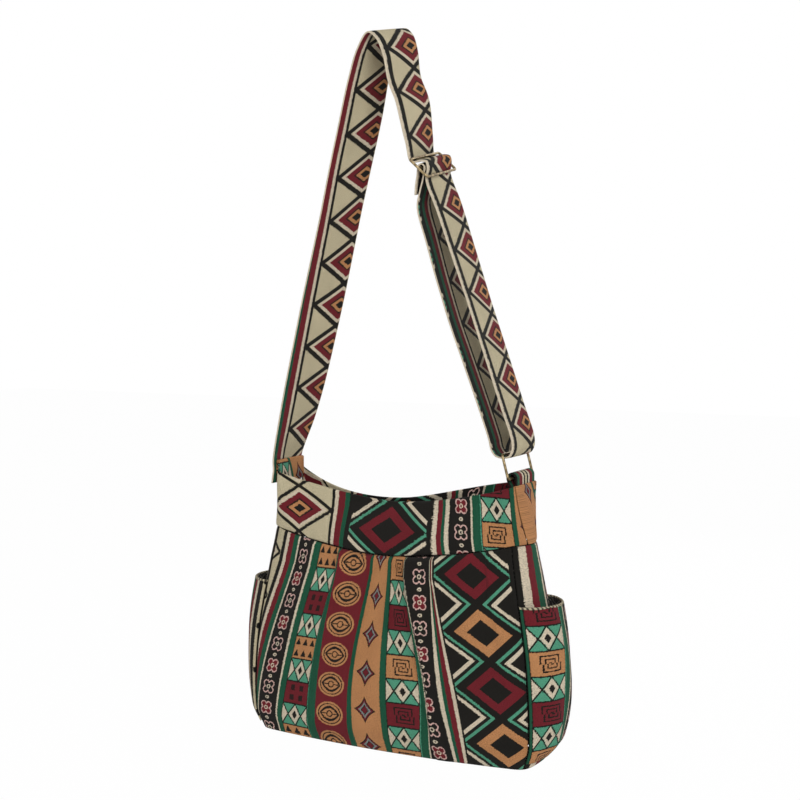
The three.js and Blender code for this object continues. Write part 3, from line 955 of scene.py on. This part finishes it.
def pocket(name, node, start, first_mm, turn):
    def where(i, j):
        return start + POCKET_PLAY + (SIDE_RUN - 2 * POCKET_PLAY) * i, POCKET_FOOT + POCKET_DEPTH * j

    def lay(i, j):
        waver = 0.0007 * np.sin(i * 17 + j * 9) * np.sin(math.pi * i)
        return body_point(*where(i, j), pocket_stand(i, j) + POCKET_CLOTH + waver)

    def cloth(i, j):
        return first_mm + turn * i * SIDE_RUN / MM * POCKET_STRETCH, where(i, j)[1] / MM + POCKET_SHIFT

    piece = shaped_grid(name, 70, 90, lay, cloth, [cloth_face, back_face])
    thicken(piece, POCKET_CLOTH)
    belongs(piece, node)

    def mouth(i, j):
        place, rim = where(i, 1)
        turn_round = 2 * math.pi * j
        stand = pocket_stand(i, 1) + POCKET_CLOTH / 2 + BINDING_RADIUS * np.cos(turn_round)
        return body_point(place, rim + BINDING_RADIUS * np.sin(turn_round), stand)

    binding = shaped_grid(name.replace("cloth", "binding"), 120, 10, mouth,
                          lambda i, j: (i * 96, j * 8), [edge_binding], weld=True)
    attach(binding, "bag")


pocket("right_pocket_cloth", "right_pocket", RIGHT_START, 183, 1)
pocket("left_pocket_cloth", "left_pocket", LEFT_START, SIDE_RUN / MM - 3, -1)

# %% [markdown]
# ## The base
#
# The base is one flat piece of the same cloth under the bag. A grid drawn in towards the middle of
# the outline covers it, a little above the frame's own face so that the bag stands on the same level.

# %% Base
BASE_RINGS = 14


def base_panel():
    def lay(i, j):
        rim = body_point(i * LOOP_RUN, BASE, -0.0006)
        middle = np.array([0, 0, BASE]) + TO_FRAME
        share = (1 - j)[:, None]
        found = middle + (rim - middle) * share
        found[:, 2] += 0.0004 + 0.0012 * smooth(1 - j, 0.9, 1)
        return found

    def cloth(i, j):
        spot = lay(i, j)
        return 230 + spot[:, 1] / MM, spot[:, 0] / MM

    piece = shaped_grid("bottom_panel_cloth", 180, BASE_RINGS, lay, cloth, [cloth_face], weld=True)
    belongs(piece, "bottom_panel")


base_panel()

# %% [markdown]
# ## The strap
#
# The strap is one folded strip. It is sewn outside the left side, goes over the top, passes the
# slider, turns round the ring and comes back to the slider's middle bar. Sweeping a rounded section
# along its centre line keeps its width true at every bend. Both edges are piped in pale thread.

# %% Sizes of the strap and its metal, in metres
STRAP_WIDTH = STRAP_WIDTH_MM * MM
STRAP_OVERLAP = 0.014
SEWN_GAP = 0.0005
WIRE = 0.0014
STRAP_BAR_GAP = 0.0006
LAYER_GAP = 0.0004
SLIDER_SIDE_GAP = 0.0034
RING_SIDE_GAP = 0.001
SLIDER_LENGTH = 0.026
SLIDER_TILT = math.radians(45)
SLIDER_AT = np.array([0.036, 0.331])
RING_PITCH = 0.026
RING_LEAN = math.radians(15)
RING_BAR_HEIGHT = 0.007
TAB_WIDTH = 0.046
TAB_THICKNESS = 0.0022
TAB_BAR_GAP = 0.0005
TAB_REACH = 0.024
TAB_OUTER = WIRE + TAB_BAR_GAP + TAB_THICKNESS
BAR_X = float(half_width(0)) - WALL - SEWN_GAP - TAB_OUTER - 0.001
RING_BAR = np.array([BAR_X, RING_BAR_HEIGHT])
RING_TOP = RING_BAR + RING_PITCH * np.array([-math.sin(RING_LEAN), math.cos(RING_LEAN)])
STRAP_ROLL = 11
UNDER_BAR = WIRE + STRAP_BAR_GAP + STRAP_THICKNESS / 2
WRAP_RADIUS = UNDER_BAR + LAYER_GAP
OVER_WRAP = WRAP_RADIUS + STRAP_THICKNESS + 3 * LAYER_GAP
DOWN = np.array([math.sin(SLIDER_TILT), -math.cos(SLIDER_TILT)])
OUT = np.array([math.cos(SLIDER_TILT), math.sin(SLIDER_TILT)])


# %% The strap's centre line, in X and Z
LEFT_BOW = [(0.1, -1), (0.2, -1), (0.4, 1), (0.55, 3), (0.7, 5), (0.8, 6), (0.9, 8), (0.965, 7)]
TOP_FALL = [(10, -7), (17, -24), (22, -52)]
FALL_SHARE, FALL_BOW = 0.45, -7
SLIDER_ENTRY = (-5, 21)
HUMP_SHARE, HUMP_ENTRY, HUMP_EXIT = 0.42, 0.003, 0.0026
DOWN_SHARES = [0.12, 0.3, 0.5, 0.7, 0.88]
RING_LOOP = [
    (9, 15), (9.5, 5), (6, -2), (-0.5, -(UNDER_BAR + LAYER_GAP) / MM), (-8.5, -2.2), (-13.5, 4),
    (-16, 14)]
RETURN_BOW = [(0.16, 1), (0.33, 3), (0.5, 5), (0.67, 4.5), (0.84, 2.5), (1, 0)]
BAR_APPROACH = [(-4, -40), (-1, -24), (2.4, -11)]
BAR_TURNS = [-5, 40, 85, 130, 175]
SEWN_TAIL = [(-4.4, -8), (-6, -18), (-6.6, -28)]


def slider_bar(share, out):
    return SLIDER_AT + DOWN * share * SLIDER_LENGTH / 2 + OUT * out


def strap_route():
    def off(point, step):
        return point + np.array(step) * MM

    def bowed(first, last, share, bow):
        return first + (last - first) * share - np.array([bow * MM, 0])

    def sewn(z):
        x = -float(half_width(z)) - float(end_swell(z)) - SEWN_GAP - STRAP_THICKNESS / 2
        return np.array([x, z])

    left = sewn(LEFT_YOKE_RISE)
    top = np.array([APEX_X, STRAP_RISE - STRAP_THICKNESS / 2])
    slider_top, slider_foot = slider_bar(-1, -UNDER_BAR), slider_bar(1, -UNDER_BAR)
    middle = slider_bar(0, 0)
    loop = [off(RING_TOP, step) for step in RING_LOOP]
    back, *near_bar = [off(middle, step) for step in BAR_APPROACH]
    turns = [math.radians(degrees) for degrees in BAR_TURNS]
    return [
        sewn(-STRAP_OVERLAP), sewn(-STRAP_OVERLAP / 2), sewn(0), left,
        *[bowed(left, top, share, bow) for share, bow in LEFT_BOW], top,
        *[off(top, step) for step in TOP_FALL],
        bowed(slider_top, top, FALL_SHARE, FALL_BOW), off(slider_top, SLIDER_ENTRY),
        slider_bar(-1, -UNDER_BAR - LAYER_GAP), slider_bar(-HUMP_SHARE, OVER_WRAP - HUMP_ENTRY),
        slider_bar(0, OVER_WRAP + LAYER_GAP), slider_bar(HUMP_SHARE, OVER_WRAP - HUMP_EXIT),
        slider_bar(1, -UNDER_BAR - 3 * LAYER_GAP),
        *[slider_foot + (loop[0] - slider_foot) * share for share in DOWN_SHARES], *loop,
        *[bowed(loop[-1], back, share, bow) for share, bow in RETURN_BOW], *near_bar,
        *[middle + WRAP_RADIUS * np.array([math.cos(turn), math.sin(turn)]) for turn in turns],
        *[off(middle, step) for step in SEWN_TAIL]]


# %% A smooth line through the strap's points
def centripetal(points, step):
    """A centripetal Catmull-Rom curve through the points, and its direction, a step apart."""
    points = np.array(points)
    padded = np.vstack([2 * points[0] - points[1], points, 2 * points[-1] - points[-2]])
    found, headings = [], []
    for k in range(1, len(padded) - 2):
        p0, p1, p2, p3 = padded[k - 1:k + 3]
        d0, d1, d2 = (math.sqrt(np.linalg.norm(b - a)) for a, b in ((p0, p1), (p1, p2), (p2, p3)))
        t1 = ((p1 - p0) / d0 - (p2 - p0) / (d0 + d1) + (p2 - p1) / d1) * d1
        t2 = ((p2 - p1) / d1 - (p3 - p1) / (d1 + d2) + (p3 - p2) / d2) * d1
        count = max(2, math.ceil(np.linalg.norm(p2 - p1) / step))
        t = (np.arange(count) / count)[:, None]
        a, b = 2 * (p1 - p2) + t1 + t2, 3 * (p2 - p1) - 2 * t1 - t2
        found.append(a * t**3 + b * t**2 + t1 * t + p1)
        headings.append(3 * a * t**2 + 2 * b * t + t1)
    found.append(points[-1][None])
    headings.append(headings[-1][-1][None])
    heading = np.vstack(headings)
    return np.vstack(found), heading / np.linalg.norm(heading, axis=1)[:, None]


# %% The strap's frame along its line
left_yaw = profile([
    (-STRAP_OVERLAP, 0), (LEFT_YOKE_RISE, 0), (0.060, 11), (0.110, 17), (0.260, 21), (0.380, 24),
    (STRAP_RISE, 15)])
right_yaw = profile([
    (0, 0), (0.311, 0), (0.343, 0), (0.390, 8), (0.430, 9), (STRAP_RISE, 15)])
roll_at = profile([(0.190, 0), (0.285, STRAP_ROLL), (0.300, STRAP_ROLL), (STRAP_RISE, STRAP_ROLL)])
STRAP_STEP = 0.003
line, heading = centripetal(strap_route(), STRAP_STEP)
centre = np.stack([line[:, 0], 0 * line[:, 0], line[:, 1]], 1)
along_line = np.stack([heading[:, 0], 0 * heading[:, 0], heading[:, 1]], 1)
yaw = np.radians(np.where(centre[:, 0] < APEX_X, left_yaw(centre[:, 2]), right_yaw(centre[:, 2])))
lift = np.tan(np.radians(roll_at(centre[:, 2])))
side_way = np.stack([np.sin(yaw), np.cos(yaw), lift], 1)
side_way /= np.linalg.norm(side_way, axis=1)[:, None]
out_way = np.cross(side_way, along_line)
out_way /= np.linalg.norm(out_way, axis=1)[:, None]
run_mm = np.concatenate([[0], np.cumsum(np.linalg.norm(np.diff(line, axis=0), axis=1))]) / MM
print("strap length", round(run_mm[-1]), "mm in", len(line), "steps")

# %% [markdown]
# ### Its section
#
# A folded strap is a flat oval: level across the middle and full at its two turned edges. The
# outer face starts at a pale edge beside the black stripe, and the inner face near the green one.

# %% Strap
STRAP_ROUND = 44
# The outer face starts at one place of the cloth; the inner one drifts, as (run, place) pairs.
OUTER_FACE_MM = 386.5
INNER_FACE = [(0, 371), (350, 378), (520, 378), (900, 363)]
# The outer face's black stripe is wider: the places where it ends there and in the cloth.
STRAP_BLACK = [(300, 300), (388.5, 388.5), (397, 392.5), (500, 495.5)]
# For each face, the run at which one lattice diamond lies, and the spacing of its diamonds.
OUTER_DIAMONDS = (533.1, 48.1)
INNER_DIAMONDS = (251.8, 47.7)
# Powers that flatten the strap's oval and spread its points across it.
OVAL_FLATNESS, OVAL_SPREAD = 0.32, 0.92


def ribbon_section(j):
    """Across and out, each from -1 to 1, round a flat oval that starts at one edge."""
    turn = 2 * math.pi * j
    across, out = -np.cos(turn), -np.sin(turn)
    full = np.sign(out) * np.abs(out) ** OVAL_FLATNESS
    return np.sign(across) * np.abs(across) ** OVAL_SPREAD, full


def strap():
    def steps(i):
        return np.rint(i * (len(line) - 1)).astype(int)

    def lay(i, j):
        k = steps(i)
        across, out = ribbon_section(j)
        rim = 1 - 0.35 * smooth(0.93 - np.abs(across), 0, 0.05)
        half = STRAP_THICKNESS / 2 * (0.70 + 0.30 * rim)
        return (centre[k] + side_way[k] * (across * STRAP_WIDTH / 2)[:, None]
                + out_way[k] * (out * half)[:, None] + TO_FRAME)

    def cloth(i, j):
        across, out = ribbon_section(j)
        width = (across + 1) * STRAP_WIDTH_MM / 2
        run = run_mm[steps(i)]
        inner = np.interp(run, *np.array(INNER_FACE).T)
        outer_along, inner_along = ((run - first) * LATTICE_PITCH / pitch + PHASES["lattice"]
                                    for first, pitch in (OUTER_DIAMONDS, INNER_DIAMONDS))
        is_inner = j > 0.5
        outer = np.interp(OUTER_FACE_MM + width, *np.array(STRAP_BLACK).T)
        return np.where(is_inner, inner + width, outer), np.where(is_inner, inner_along, outer_along)

    def edge(i, j):
        across, _ = ribbon_section(j)
        return across * STRAP_WIDTH_MM / 2, run_mm[steps(i)]

    piece = shaped_grid("strap_cloth", len(line) - 1, STRAP_ROUND, lay, cloth, [strap_face], edge, True)
    close_ends(piece)
    belongs(piece, "strap")


def close_ends(piece):
    """Closes the open ends of a swept piece."""
    mesh_data = bmesh.new()
    mesh_data.from_mesh(piece.data)
    open_edges = [edge for edge in mesh_data.edges if edge.is_boundary]
    bmesh.ops.holes_fill(mesh_data, edges=open_edges)
    bmesh.ops.recalc_face_normals(mesh_data, faces=mesh_data.faces)
    mesh_data.to_mesh(piece.data)
    mesh_data.free()


strap()

# %% [markdown]
# ## The metal
#
# Ring and slider are bent wire in aged brass. A wire's section is swept round a rectangle with
# rounded corners. The metal is darker and rougher where hands don't rub it.


# %% Aged brass
def aged_brass():
    material, start, shader = new_material("aged brass")
    spot = start.node("ShaderNodeTexCoord", None, None, 3)
    cloudy = start.node("ShaderNodeTexNoise", None, {"Vector": spot, "Scale": 260.0, "Detail": 3.0})
    fine = start.node("ShaderNodeTexNoise", None, {"Vector": spot, "Scale": 1900.0, "Detail": 2.0})
    worn = (cloudy - 0.38) * 2.4
    worn = least(most(worn, 0), 1)
    shown = paint(colour(96, 82, 60), colour(184, 164, 124), worn)
    roughness = 0.46 - worn * 0.2 + fine * 0.08
    bump = start.node("ShaderNodeBump", None, {"Height": fine, "Strength": 0.15, "Distance": 0.0002})
    feed(shader, {"Base Color": shown, "Roughness": roughness, "Normal": bump, "Metallic": 1})
    return material


brass = aged_brass()

# %% Bent wire
WIRE_CORNER = 0.003
WIRE_SIDES = 20


def rounded_loop(i, span, length):
    """A point and heading round a rectangle with rounded corners, in Y and Z."""
    flat_y, flat_z = span - 2 * WIRE_CORNER, length - 2 * WIRE_CORNER
    quarter = math.pi * WIRE_CORNER / 2
    ends = np.cumsum([0, flat_y, quarter, flat_z, quarter, flat_y, quarter, flat_z, quarter])
    run = i * ends[-1]
    part = np.clip(np.searchsorted(ends, run, side="right") - 1, 0, 7)
    into = run - ends[part]
    side, bend = part // 2, part % 2
    angle = side * math.pi / 2 + bend * into / WIRE_CORNER
    y0 = np.array([-flat_y / 2, span / 2, flat_y / 2, -span / 2])[side]
    z0 = np.array([0, WIRE_CORNER, length, length - WIRE_CORNER])[side]
    corner_y = np.array([flat_y / 2, flat_y / 2, -flat_y / 2, -flat_y / 2])[side]
    corner_z = np.array([WIRE_CORNER, length - WIRE_CORNER, length - WIRE_CORNER, WIRE_CORNER])[side]
    y = np.where(bend == 0, y0 + np.cos(angle) * into, corner_y + WIRE_CORNER * np.sin(angle))
    z = np.where(bend == 0, z0 + np.sin(angle) * into, corner_z - WIRE_CORNER * np.cos(angle))
    return y, z, angle


def tilted(points, lean, roll, at):
    """Leans points about Y, rolls them about X and puts them in their place."""
    x, y, z = points.T
    leaned = np.stack([x * math.cos(lean) - z * math.sin(lean), y,
                       x * math.sin(lean) + z * math.cos(lean)], 1)
    x, y, z = leaned.T
    rolled = np.stack([x, y * math.cos(roll) - z * math.sin(roll),
                       y * math.sin(roll) + z * math.cos(roll)], 1)
    return rolled + np.array([at[0], 0, at[1]]) + TO_FRAME


def wire_loop(name, span, length, place):
    def lay(i, j):
        y, z, angle = rounded_loop(i, span, length)
        turn = 2 * math.pi * j
        outward = WIRE * np.sin(turn)
        x = WIRE * np.cos(turn)
        return place(np.stack([x, y + outward * np.sin(angle), z - outward * np.cos(angle)], 1))

    return shaped_grid(name, 220, WIRE_SIDES, lay, lambda i, j: (i, j), [brass], weld=True)


def metal():
    ring_span = STRAP_WIDTH + 2 * (RING_SIDE_GAP + WIRE)
    ring = wire_loop("ring_wire", ring_span, RING_PITCH, lambda p: tilted(p, RING_LEAN, 0, RING_BAR))
    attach(ring, "ring")
    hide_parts("ring")

    span = STRAP_WIDTH + 2 * (SLIDER_SIDE_GAP + WIRE)
    roll = math.radians(STRAP_ROLL)

    def in_slider(points):
        return tilted(points - np.array([0, 0, SLIDER_LENGTH / 2]), SLIDER_TILT, roll, SLIDER_AT)

    slider = wire_loop("slider_wire", span, SLIDER_LENGTH, in_slider)

    def bar(i, j):
        turn = 2 * math.pi * j
        return in_slider(np.stack([WIRE * np.cos(turn), (i - 0.5) * span,
                                   SLIDER_LENGTH / 2 + WIRE * np.sin(turn)], 1))

    middle = shaped_grid("slider_bar", 40, WIRE_SIDES, bar, lambda i, j: (i, j), [brass], weld=True)
    for piece in (slider, middle):
        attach(piece, "bag")
    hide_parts("slider")


metal()

# %% [markdown]
# ## The ring's tab
#
# The tab is a rolled strip of the cloth round the ring's lower bar, with its two ends sewn inside
# the side piece. Its bands run round the roll.

# %% Tab
TAB_EDGE_MM = 372
TAB_RUN_MM, TAB_SHIFT = 62, 9
# How far the tab's roll turns, and the share of the grid's rows that it takes, as an angle.
TAB_TURN, TAB_ARC = math.pi * 1.18, math.pi * 1.25


def tab():
    leg = TAB_REACH
    inner_x = TAB_OUTER - 2 * TAB_THICKNESS

    def lay(i, j):
        arc = TAB_ARC * TAB_OUTER
        run = i * (leg + arc + leg)
        over = np.clip((run - leg) / arc, 0, 1)
        angle = over * TAB_TURN
        down = np.clip(run - leg - arc, 0, leg)
        x = TAB_OUTER * np.cos(angle)
        z = RING_BAR_HEIGHT + TAB_OUTER * np.sin(angle)
        first = run < leg
        x = np.where(first, TAB_OUTER, x)
        z = np.where(first, RING_BAR_HEIGHT - (leg - run), z)
        last = down > 0
        blend = smooth(down, 0, 0.007)
        end_x = TAB_OUTER * math.cos(TAB_TURN)
        x = np.where(last, end_x + (inner_x - end_x) * blend, x)
        z = np.where(last, RING_BAR_HEIGHT + TAB_OUTER * math.sin(TAB_TURN) - down, z)
        z = np.maximum(z, RING_BAR_HEIGHT - TAB_OUTER - leg)
        y = (j - 0.5) * TAB_WIDTH
        return np.stack([BAR_X + x, y, z], 1) + TO_FRAME

    def cloth(i, j):
        return TAB_EDGE_MM + np.minimum(j, 1 - j) * TAB_WIDTH / MM, i * TAB_RUN_MM + TAB_SHIFT

    piece = shaped_grid("ring_tab_cloth", 90, 40, lay, cloth, [cloth_face])
    thicken(piece, TAB_THICKNESS * 0.9)
    belongs(piece, "ring_tab")


tab()

# %% [markdown]
# ## Floor, light and background
#
# A wide soft light stands to the right front, where the photograph's strap is brightest, and a
# weaker one fills the left. The floor and the world look white to the camera alone, so that they add
# no light to the bag.

# %% Floor
FLOOR_DROP = 0.12
FLOOR_SIZE = 6


def white_to_camera(start):
    path = start.node("ShaderNodeLightPath")
    rays = path.socket.node.outputs
    camera, glossy, through = (Wire(start.tree, rays[name]) for name in (
        "Is Camera Ray", "Is Glossy Ray", "Is Transmission Ray"))
    return least(camera + glossy + through, 1)


def add_floor():
    mesh_data = bmesh.new()
    bmesh.ops.create_grid(mesh_data, x_segments=1, y_segments=1, size=FLOOR_SIZE)
    bmesh.ops.translate(mesh_data, verts=mesh_data.verts, vec=(0, 0, cad_box[0].z - FLOOR_DROP))
    mesh = bpy.data.meshes.new("floor")
    mesh_data.to_mesh(mesh)
    mesh_data.free()
    floor = placed("floor", mesh)
    material, start, shader = new_material("floor white")
    feed(shader, {"Base Color": (0.86, 0.86, 0.86, 1), "Roughness": 0.9})
    glow = start.node("ShaderNodeEmission", None, {"Color": (1, 1, 1, 1), "Strength": 1.0})
    matt = Wire(start.tree, shader.outputs[0])
    mixed = start.node("ShaderNodeMixShader", None, {0: white_to_camera(start) * 0.98, 1: matt, 2: glow})
    feed(start.tree.nodes["Material Output"], {"Surface": mixed})
    mesh.materials.append(material)


add_floor()


# %% Lamps and world
LAMPS = [
    ("key", (1.5, -1.6, 0.7), 1.4, 36),
    ("fill", (-1.6, -1.2, 0.1), 1.6, 7),
    ("back", (0.2, 1.8, 0.4), 1.6, 14),
]
WORLD_LEVEL = 0.46


def add_lights():
    for name, place, size, power in LAMPS:
        data = bpy.data.lights.new(name, "AREA")
        data.size, data.energy = size, power
        lamp = placed(name, data)
        lamp.location = place
        lamp.rotation_euler = (TARGET - Vector(place)).to_track_quat("-Z", "Y").to_euler()
    world = bpy.data.worlds.new("studio")
    world.use_nodes = True
    bpy.context.scene.world = world
    start = Wire(world.node_tree)
    level = WORLD_LEVEL + white_to_camera(start) * (1 - WORLD_LEVEL)
    feed(world.node_tree.nodes["Background"], {"Color": (1, 1, 1, 1), "Strength": level})


add_lights()
bpy.context.scene.view_settings.view_transform = "Standard"
